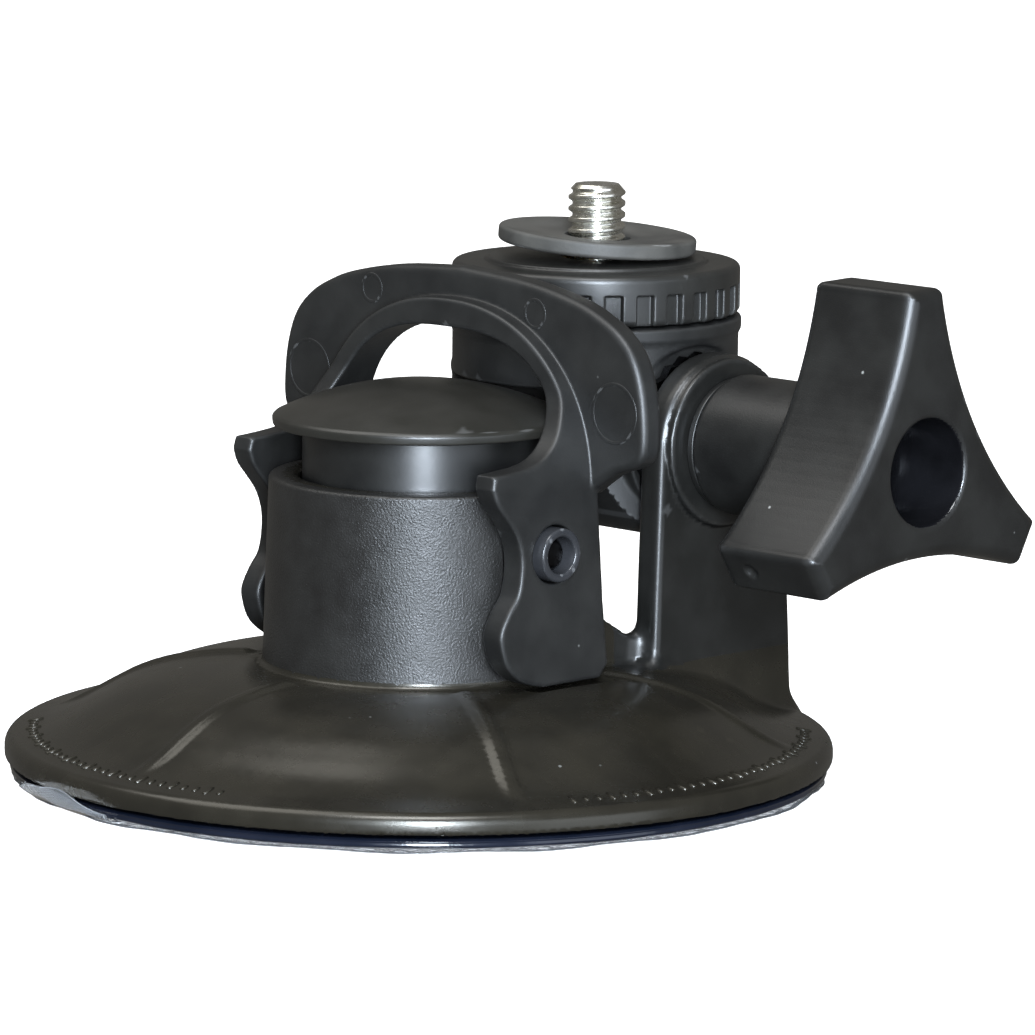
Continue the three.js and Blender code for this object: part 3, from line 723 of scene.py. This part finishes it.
def film_edge(angle):
    """The film is cut a little unevenly."""
    return FILM_R + 0.14 * np.sin(7 * angle + 0.4) + 0.09 * np.sin(23 * angle) + 0.05 * np.sin(61 * angle)


def make_film():
    segments = 360
    angles = np.arange(segments) * 2 * np.pi / segments
    rings = []
    for share, z in ((0.0, 0.0), (0.9, 0.0), (0.985, 0.05), (1.0, 0.12), (1.0, 0.12 + FILM_T),
                     (0.985, 0.05 + FILM_T), (0.9, 0.3), (0.0, 0.3)):
        radius = film_edge(angles) * share
        lift = 0.1 * share ** 8 * (1 + np.sin(17 * angles)) if share > 0.95 else 0 * angles
        rings.append(np.stack([radius * np.cos(angles), radius * np.sin(angles), z + lift], -1))
    points = np.concatenate(rings)
    piece = make_object("film_sheet", points, ring_faces(len(rings), segments))
    tidy(piece)
    finish_piece(piece, "base", FILM, "clear_film", "release_film")


def make_tab():
    """Pull tab: a clear tongue that leaves the film's edge and curls back up beside the rim."""
    across, along = 60, 30
    sheets = []
    for side in (0, 1):
        rows = []
        for i in range(along + 1):
            t = i / along
            row = []
            for j in range(across + 1):
                s = 2 * j / across - 1
                angle = TAB_ANGLE + s * TAB_HALF_ANGLE
                edge = 1 - 0.35 * abs(s) ** 4
                curl = 1.35 + 0.5 * math.sin(2.2 * s + 0.6)
                reach = FILM_R - 2.1 + 4.6 * edge * math.sin(min(t * curl, 1.9))
                rise = 0.12 + 2.7 * edge * (1 - math.cos(t * curl)) * (1 - 0.35 * s)
                ripple = 0.16 * math.sin(9 * s + 4 * t) * t
                radius = reach + side * FILM_T * math.sin(t * curl)
                row.append((radius * math.cos(angle), radius * math.sin(angle),
                            rise + ripple + side * FILM_T * math.cos(t * curl)))
            rows.append(row)
        sheets.append(rows)
    points = [p for rows in sheets for row in rows for p in row]
    width = across + 1
    size = (along + 1) * width
    faces = []
    for i in range(along):
        for j in range(across):
            a = i * width + j
            faces.append([a, a + 1, a + 1 + width, a + width])
            b = a + size
            faces.append([b + width, b + width + 1, b + 1, b])
    border = ([j for j in range(across)] + [i * width + across for i in range(along)]
              + [along * width + j for j in range(across, 0, -1)] + [i * width for i in range(along, 0, -1)])
    for a, b in zip(border, border[1:] + border[:1]):
        faces.append([b, a, a + size, b + size])
    piece = make_object("film_tab", points, faces)
    tidy(piece)
    finish_piece(piece, "base", FILM, "clear_film")


# ---- Plunger ---------------------------------------------------------------------------------
def make_plunger():
    top = PLUNGER_HIGH[2]
    outline = rounded([
        (0, 21, 0), (2.8, 21, 0), (2.8, 6.6, 0), (6.3, 6.6, 0.3), (6.3, 21.1, 0.3),
        (PLUNGER_R, 21.1, 0.5), (PLUNGER_R, top, 0.25), (10.7, top, 0.2), (10.7, 32.5, 0), (0, 32.5, 0)])
    piece = lathe("plunger_post", outline)
    finish_piece(piece, "plunger_group", PLUNGER_PLASTIC, "gloss_black", "plunger")


def make_cap():
    low, high = 38, CAP_HIGH[2]
    edge_r, edge_z = CAP_R - 0.35, low + 1.25
    crown = [(edge_r * (1 - t), edge_z + (high - edge_z) * (1 - (1 - t) ** 2))
             for t in np.arange(0.05, 1.01, 0.05)]
    band = rounded([(0, 34, 0), (10.4, 34, 0.2), (10.4, low, 0.1), (CAP_R - 0.1, low, 0.25),
                    (CAP_R, low + 0.9, 0.2), (edge_r, edge_z, 0.15), (edge_r * 0.95, edge_z + 0.3, 0)])
    piece = lathe("cap_dome", list(band[:-1]) + crown)
    finish_piece(piece, "plunger_group", CAP_PLASTIC, "cap_black", "plunger_cap")


def make_pivot():
    half = TUBE_HIGH[0]
    outline = rounded([(TUBE_BORE_R, -half, 0.35), (TUBE_R, -half, 0.35), (TUBE_R, half, 0.35),
                       (TUBE_BORE_R, half, 0.35)])
    piece = lathe("pivot_ring", outline, (0, 0, PIVOT_Z), "x", 96)
    finish_piece(piece, "plunger_group", RING_PLASTIC, "gloss_black", "pivot_tube")
    pin_half = 20.3
    outline = rounded([(0, -pin_half, 0), (1.3, -pin_half, 0.2), (1.7, -pin_half + 0.5, 0.2),
                       (1.7, pin_half - 0.5, 0.2), (1.3, pin_half, 0.2), (0, pin_half, 0)])
    piece = lathe("pivot_core", outline, (0, 0, PIVOT_Z), "x", 64)
    finish_piece(piece, "plunger_group", BLACK_STEEL, "spring_steel", "pivot_pin")


def make_spring():
    low, high, turns, radius, wire = 7.4, 14.9, 4, 8.6, 0.8
    t = np.linspace(0, 1, 220)
    angle = 2 * np.pi * turns * t
    path = np.stack([radius * np.cos(angle), radius * np.sin(angle), low + (high - low) * t], -1)
    piece = tube("coil_spring", path, wire)
    finish_piece(piece, None, SPRING_STEEL, "spring_steel", "return_spring")
    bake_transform(piece)


# ---- Lever -----------------------------------------------------------------------------------
HOOP_FRONT_Y = 3.4
LEG_FOOT_Z = LEVER_LOW[2]
FRONT_EDGE = [(-9.2, 34), (-8.4, 32.2), (-6, 29.3), (-5, 26.9), (-4.9, 24.6), (-5.4, 22.3),
              (-6.7, 20.6), (-7.8, 18.6), (-7.7, 16.9), (-6.8, 14.8), (-4.9, 13.2), (-3.1, 12.5),
              (-1.3, LEG_FOOT_Z)]
HOOK_EDGE = [(HOOP_FRONT_Y, 44), (3.2, 42.5), (2.4, 40.7), (0.9, 38.4), (-0.8, 36.9), (-2.9, 36),
             (-6, 35.6), (-8.9, 35.4)]
PLATE_EDGE = [(19.5, 32), (21.4, 33.3), (23.5, 34.6), (26.4, 35.6), (PLATE_HALF_WIDTH - 0.2, 37),
              (PLATE_HALF_WIDTH, 40), (27.5, 43.9), (26.2, 47.3), (23.9, 49.7), (20.8, 51.4),
              (17, 52.7), (10, 54), (0, PLATE_TOP_Z)]


def lever_outlines():
    side = (spline(FRONT_EDGE) + [(7.2, LEG_FOOT_Z), (8.4, 13.5), (7.6, 20.4), (6.6, 32.2),
                                  (PLATE_BACK_Y, 34.5), (PLATE_BACK_Y, 60), (HOOP_FRONT_Y, 60)]
            + spline(HOOK_EDGE))
    plate = spline(PLATE_EDGE)
    plate += [(-x, z) for x, z in plate[-2::-1]]
    outer = [(LEG_OUT, 8)] + arch(LEG_OUT, 19.4, 2.2, ARCH_FOOT_Z) + [(-LEG_OUT, 8)]
    inner = [(LEG_IN, 0)] + arch(LEG_IN, 16.3, 2.7, ARCH_FOOT_Z) + [(-LEG_IN, 0)]
    return side, plate, outer, inner


def lever_field(x, y, z):
    side, plate, outer, inner = LEVER_OUTLINES
    frame_part = both(area(side, y, z), area(outer, x, z), 0.42)
    plate_part = both(area(plate, x, z), slab(y, PLATE_FRONT_Y, PLATE_BACK_Y), 0.85)
    body = either(frame_part, plate_part, 0.3)
    body = without(body, area(inner, x, z), 0.42)
    body = without(body, np.hypot(y, z - PIVOT_Z) - TUBE_R - 0.25 + 0 * x, 0.3)
    return body


LEVER_OUTLINES = lever_outlines()
# Ejector marks on the front of the plate: (across, height, radius).
EJECTOR_MARKS = ((23.6, 41.2, 3.3), (-23.6, 41.2, 3.3), (11.6, 50.7, 1.65), (-13.6, 51.1, 1.65))


def make_lever():
    low, high = LEVER_LOW, LEVER_HIGH
    piece = skin("lever_moulding", lever_field, low, high, 0.3)
    finish_piece(piece, "lever_group", LEVER_PLASTIC, "matte_black", "lever")
    for k, (x, z, radius) in enumerate(EJECTOR_MARKS):
        outline = rounded([(0, 0.1, 0), (radius - 0.45, 0.1, 0.1), (radius - 0.3, -0.05, 0.08),
                           (radius, -0.05, 0.08), (radius + 0.12, 0.1, 0.05), (radius, 0.3, 0),
                           (0, 0.3, 0)], 3)
        mark = lathe(f"ejector_mark_{k + 1}", outline, (0, 0, 0), "z", 72)
        mark.data.transform(Matrix.Translation(Vector((x, PLATE_FRONT_Y, z)) * MM)
                            @ Matrix.Rotation(math.radians(-90), 4, "X"))
        finish_piece(mark, "lever_group", LEVER_PLASTIC, "matte_black")


# ---- Head ------------------------------------------------------------------------------------
NECK_FOOT_Z = 41
NECK_LIP = 0.3
NECK_LIP_Z = (45.6, 46.4)
BOLT_HOLE_END_X = -9
POCKET_R = 9
POCKET_Z = 43.7


def head_field(x, y, z):
    """Neck, block and cross hub in one, with a hole for the bolt and a pocket under the wheel."""
    r = np.hypot(x - HEAD_X, y - TILT_Y)
    across = y - TILT_Y
    hub_reach = np.hypot(across, z - TILT_Z)
    lip = NECK_LIP * smooth_share(z, *NECK_LIP_Z)
    neck = both(r - NECK_R - lip, slab(z, NECK_FOOT_Z, HEAD_HIGH[2]), 0.3)
    block_half = TILT_Y - CAP_R - 1
    block = both(r - NECK_R, np.abs(across) - block_half, 0.5)
    block = both(block, z - NECK_FOOT_Z - 1, 0.2)
    block = np.maximum(block, np.minimum(hub_reach - block_half, TILT_Z - z))
    hub = both(hub_reach - HUB_R, slab(x, *HUB_X), 0.4)
    body = either(neck, either(np.maximum(block, TILT_Z - block_half - z), hub, 0.4), 0.5)
    body = without(body, both(hub_reach - DETENT_RECESS_R, HUB_X[1] - x, 0.3), 0.5)
    body = without(body, np.maximum(hub_reach - BOLT_CLEAR_R, BOLT_HOLE_END_X - x), 0.1)
    pocket = np.maximum(r - POCKET_R, POCKET_Z - z)
    return without(body, pocket, 0.15)


def make_head():
    low, high = (-18.5, 12.3, 25.5), (15, 45.2, 47.8)
    piece = skin("head_moulding", head_field, low, high, 0.4)
    finish_piece(piece, "head", HEAD_PLASTIC, "matte_black", "head_block")


def make_stud():
    """The camera stud, with a helical 1.27 mm thread that is turned down at its tip."""
    top, foot = STUD_HIGH[2], 44
    segments, per_pitch = 96, 14
    heights = np.arange(foot, top + 1e-6, THREAD_PITCH / per_pitch)
    heights = np.append(heights[heights < top - 0.01], top)
    angles = np.arange(segments) * 2 * np.pi / segments
    rings = []
    for z in heights:
        phase = (z / THREAD_PITCH - angles / (2 * np.pi)) % 1
        valley = 0.5 - 0.5 * np.cos(2 * np.pi * phase)
        radius = STUD_R - 0.45 * np.clip(valley * 1.4 - 0.25, 0, 1)
        radius = np.minimum(radius, STUD_R - 0.75 + (top - z) * 0.9)
        rings.append(np.stack([radius * np.cos(angles), radius * np.sin(angles), z + 0 * angles], -1))
    for share in (0.7, 0.35):
        rings.append(rings[-1] * (share, share, 1))
    points = np.concatenate(rings)
    faces = ring_faces(len(rings), segments) + end_faces(len(rings), segments)
    piece = make_object("stud_thread", points + np.array((HEAD_X, TILT_Y, 0)), faces)
    tidy(piece)
    finish_piece(piece, "head", ZINC, "zinc", "camera_stud")


# ---- Lock wheel and washer -------------------------------------------------------------------
WHEEL_STEP_R = 12.2
WHEEL_STEP = 0.4
FLUTE_DEPTH = 0.95
FLUTE_HALF_WIDTH = 0.95
FLUTE_TOP_Z = 51.3
INSERT_BORE_R = 5.8
INSERT_BORE_TOP_Z = 53.3
STUD_HOLE_R = 3.8


def wheel_field(x, y, z):
    """The fluted wheel, with a step on top, a bore for its insert and a hole for the stud."""
    r = np.hypot(x - HEAD_X, y - TILT_Y)
    angle = np.arctan2(y - TILT_Y, x - HEAD_X)
    pitch = 2 * np.pi / WHEEL_FLUTES
    local = angle - pitch * np.round(angle / pitch)
    foot, top = WHEEL_LOW[2], WHEEL_HIGH[2] - WHEEL_STEP
    rim = both(r - WHEEL_R, slab(z, foot, top), 0.75)
    step_up = both(r - WHEEL_STEP_R, slab(z, foot, top + WHEEL_STEP), 0.3)
    body = either(rim, step_up, 0.2)
    flute = both(WHEEL_R - FLUTE_DEPTH - r, np.abs(r * np.sin(local)) - FLUTE_HALF_WIDTH, 0.2)
    flute = both(flute, z - FLUTE_TOP_Z, 0.2)
    body = without(body, flute, 0.22)
    bore = np.minimum(np.maximum(r - INSERT_BORE_R, z - INSERT_BORE_TOP_Z), r - STUD_HOLE_R)
    return without(body, bore, 0.15)


def make_wheel():
    low = (HEAD_X - WHEEL_R, TILT_Y - WHEEL_R, WHEEL_LOW[2])
    high = (HEAD_X + WHEEL_R, TILT_Y + WHEEL_R, WHEEL_HIGH[2])
    piece = skin("wheel_moulding", wheel_field, low, high, 0.22)
    finish_piece(piece, "wheel", WHEEL_PLASTIC, "wheel_black", "lock_wheel")


WASHER_Z = 54.6
WASHER_TILT = math.radians(-4)
WASHER_HEADING = math.radians(-55)


def make_washer():
    outline = rounded([
        (STUD_R + 0.5, 0, 0.1), (7, -0.1, 1.5), (WASHER_R - 0.25, 0.45, 0.3), (WASHER_R, 0.7, 0.2),
        (WASHER_R, WASHER_T + 0.35, 0.2), (WASHER_R - 0.3, WASHER_T + 0.6, 0.2), (9.2, WASHER_T + 0.42, 0.6),
        (7, WASHER_T, 1.2), (STUD_R + 0.5, WASHER_T, 0.15)])
    axis = Vector((math.cos(WASHER_HEADING), math.sin(WASHER_HEADING), 0))
    piece = lathe("washer_ring", outline, (HEAD_X, TILT_Y, WASHER_Z), "z", 160,
                  Matrix.Rotation(WASHER_TILT, 4, axis))
    finish_piece(piece, "washer", WASHER_RUBBER, "washer_rubber", "rubber_washer")


# ---- Knob ------------------------------------------------------------------------------------
KNOB_FIRST_LOBE = math.radians(91)
TIP_HALF_CHORD = 2.9
KNOB_LOBES = 3


def knob_outline():
    def at(r, angle, side):
        return (TILT_Y + r * math.cos(angle) - side * math.sin(angle),
                TILT_Z + r * math.sin(angle) + side * math.cos(angle))
    step = 2 * math.pi / KNOB_LOBES
    tip_reach = KNOB_TIP_R * math.cos(step / 2) + TIP_HALF_CHORD * math.sin(step / 2)
    line = []
    for i in range(KNOB_LOBES):
        lobe = KNOB_FIRST_LOBE + i * step
        left, right = -TIP_HALF_CHORD, TIP_HALF_CHORD
        line += quadratic(at(KNOB_TIP_R - 1, lobe, left), at(KNOB_TIP_R, lobe, left),
                          at(KNOB_TIP_R, lobe, left + 1), 6)
        line += quadratic(at(KNOB_TIP_R, lobe, right - 1), at(KNOB_TIP_R, lobe, right),
                          at(KNOB_TIP_R - 1, lobe, right), 6)
        line += quadratic(at(KNOB_TIP_R - 1, lobe, right),
                          at(2 * KNOB_WAIST_R - tip_reach, lobe + step / 2, 0),
                          at(KNOB_TIP_R - 1, lobe + step, left), 22)
    return line


KNOB_LINE = knob_outline()
# A shallow gate mark sits in the end of the lobe that points down and forward.
GATE_ANGLE = KNOB_FIRST_LOBE + 2 * math.pi / KNOB_LOBES
GATE_R = 1.05
GATE_X = 37.6


def knob_field(x, y, z):
    """Three lobes and a collar, with a deep round hole, a bore for the bolt and the gate mark."""
    reach = np.hypot(y - TILT_Y, z - TILT_Z)
    body = both(area(KNOB_LINE, y, z), slab(x, KNOB_BODY_X, KNOB_HIGH[0]), 1.6)
    collar = both(reach - COLLAR_R, slab(x, KNOB_LOW[0], KNOB_BODY_X + 2), 0.7)
    body = either(body, collar, 0.7)
    hole = both(reach - KNOB_HOLE_R, KNOB_HOLE_X - x, 0.3)
    body = without(body, hole, 0.55)
    body = without(body, reach - BOLT_CLEAR_R + 0 * x, 0.1)
    gate_y = TILT_Y + (KNOB_TIP_R + 0.55) * math.cos(GATE_ANGLE)
    gate_z = TILT_Z + (KNOB_TIP_R + 0.55) * math.sin(GATE_ANGLE)
    gate = np.sqrt((x - GATE_X) ** 2 + (y - gate_y) ** 2 + (z - gate_z) ** 2) - GATE_R
    return without(body, gate, 0.12)


def make_knob():
    piece = skin("knob_moulding", knob_field, KNOB_LOW, KNOB_HIGH, 0.33)
    finish_piece(piece, "knob_group", KNOB_PLASTIC, "knob_black", "knob")
    piece.data.materials.append(SOCKET_SHADE_PLASTIC)
    # Faces inside the hole take the darker copy: painted shade in the recess.
    x, y, z = face_centres(piece)
    inside = (np.hypot(y - TILT_Y, z - TILT_Z) < KNOB_HOLE_R + 0.12) & (x > KNOB_BODY_X)
    piece.data.polygons.foreach_set("material_index", inside.astype(np.int32))


def make_bolt():
    """The knob's bolt, with a dished head, and the thrust washer on it."""
    head_r, head_back, head_front = 5.2, 34.5, BOLT_HIGH[0]
    shank_r = BOLT_SHANK_R
    outline = rounded([(0, BOLT_LOW[0], 0), (shank_r - 0.5, BOLT_LOW[0], 0.2),
                       (shank_r, BOLT_LOW[0] + 0.6, 0.2), (shank_r, head_back, 0.1),
                       (head_r, head_back, 0.1), (head_r, head_front, 0.5),
                       (2.6, head_front, 0.25), (2.3, head_front - 1.4, 0.2), (0, head_front - 1.6, 0)])
    piece = lathe("bolt_turned", outline, (0, TILT_Y, TILT_Z), "x", 96)
    finish_piece(piece, "knob_group", BLACK_STEEL, "black_steel", "knob_bolt")
    low, high = THRUST_LOW[0], THRUST_HIGH[0]
    outer = THRUST_HIGH[2] - TILT_Z
    outline = rounded([(BOLT_CLEAR_R, low, 0.1), (outer, low, 0.2), (outer, high, 0.2),
                       (BOLT_CLEAR_R, high, 0.1)])
    piece = lathe("thrust_ring", outline, (0, TILT_Y, TILT_Z), "x", 96)
    finish_piece(piece, "knob_group", PLUNGER_PLASTIC, "gloss_black", "thrust_washer")


# ---- CAD nodes whose shape is right ----------------------------------------------------------
def repaint(node, material):
    """Gives a CAD node its material."""
    piece = frame["nodes"][node]
    piece.data.materials.clear()
    piece.data.materials.append(material)


def repaint_nodes():
    repaint("detent_disc", BLACK_STEEL)
    repaint("captive_nut", ZINC)
    repaint("stud_retainer", HEAD_PLASTIC)
    repaint("wheel_insert", BRASS)
    repaint("cup_anchor", SPRING_STEEL)


# ---- Floor and light -------------------------------------------------------------------------
def make_floor():
    """White paper that only the camera sees."""
    half = 6000
    floor = make_object("floor", [(-half, -half, 0), (half, -half, 0), (half, half, 0), (-half, half, 0)],
                        [[0, 1, 2, 3]])
    material, tree, shader, place = new_material("floor_paper")
    colour = ramp(tree, noise(tree, place, 40, 2), [(0.3, 0.86), (0.7, 0.9)])
    tree.links.new(colour, shader.inputs["Base Color"])
    shader.inputs["Roughness"].default_value = 0.9
    shader.inputs["Emission Color"].default_value = (1, 1, 1, 1)
    shader.inputs["Emission Strength"].default_value = 1.0
    floor.data.materials.append(material)
    floor.visible_diffuse = False
    floor.visible_glossy = False
    floor.visible_shadow = False


def area_light(name, azimuth, elevation, distance, width, height, power, colour):
    """A rectangular light that faces the object; angles are in degrees, sizes in metres."""
    data = bpy.data.lights.new(name, "AREA")
    data.shape = "RECTANGLE"
    data.size, data.size_y = width, height
    data.energy = power
    data.color = colour
    light = bpy.data.objects.new(name, data)
    bpy.context.scene.collection.objects.link(light)
    target = Vector((0, 0.01, 0.03))
    away = direction(math.radians(azimuth), math.radians(elevation))
    light.location = target + away * distance
    light.rotation_euler = away.to_track_quat("Z", "Y").to_euler()


def make_world():
    world = bpy.data.worlds.new("studio")
    bpy.context.scene.world = world
    world.use_nodes = True
    background = world.node_tree.nodes["Background"]
    background.inputs["Color"].default_value = (1.0, 0.965, 0.89, 1)
    background.inputs["Strength"].default_value = 0.165


make_base()
make_ticks()
make_cup()
make_film()
make_tab()
make_plunger()
make_cap()
make_pivot()
make_spring()
make_lever()
make_head()
make_stud()
make_wheel()
make_washer()
make_knob()
make_bolt()
repaint_nodes()
make_floor()
make_world()
area_light("front_light", 48, 13, 0.72, 0.1, 0.46, 17, (0.78, 0.88, 1.0))
area_light("side_panel", 92, 2, 0.75, 0.5, 0.5, 1.6, (0.82, 0.9, 1.0))
area_light("top_light", 42, 64, 0.8, 0.26, 0.26, 4, (0.93, 0.96, 1.0))
area_light("left_light", -50, 64, 0.9, 0.6, 0.6, 3.2, (1.0, 0.985, 0.95))
bpy.context.scene.view_settings.view_transform = "Standard"
